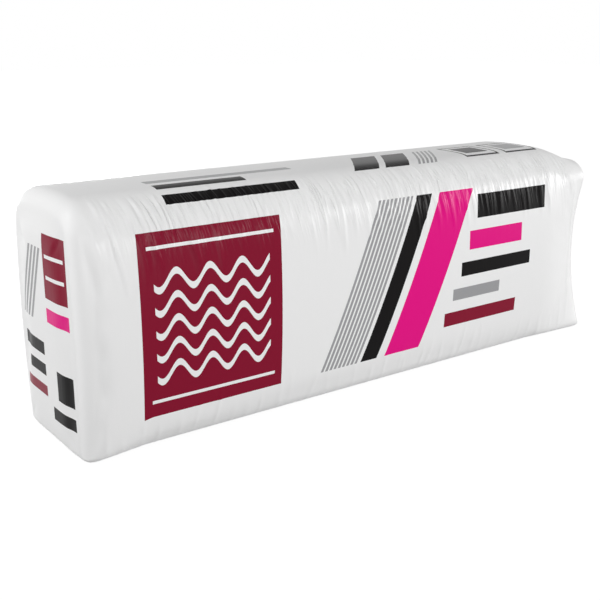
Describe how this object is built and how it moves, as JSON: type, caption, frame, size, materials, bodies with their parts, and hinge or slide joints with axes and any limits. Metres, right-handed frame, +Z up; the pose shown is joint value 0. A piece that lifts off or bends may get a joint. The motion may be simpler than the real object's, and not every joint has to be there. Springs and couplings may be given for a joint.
{
  "type": "bag of unfaced fiberglass batts",
  "caption": "Sealed white poly bag packed tight with folded unfaced fiberglass batts, a long soft-edged block with a tucked and heat-sealed end.",
  "frame": {"origin": "on the floor under the middle of the bag", "axes": "+X along the folded batts towards the sealed end, +Y through the stack from the front face to the back face, +Z up"},
  "size_m": [1.2382, 0.2448, 0.4262],
  "materials": {
    "film": "white printed polyethylene film, semi-gloss",
    "glass_wool": "pressed pink glass wool, matt"
  },
  "bodies": {
    "root": {"poly_bag": "film", "batt_1": "glass_wool", "batt_2": "glass_wool", "batt_3": "glass_wool", "batt_4": "glass_wool", "batt_5": "glass_wool", "batt_6": "glass_wool", "batt_7": "glass_wool"}
  },
  "joints": []
}
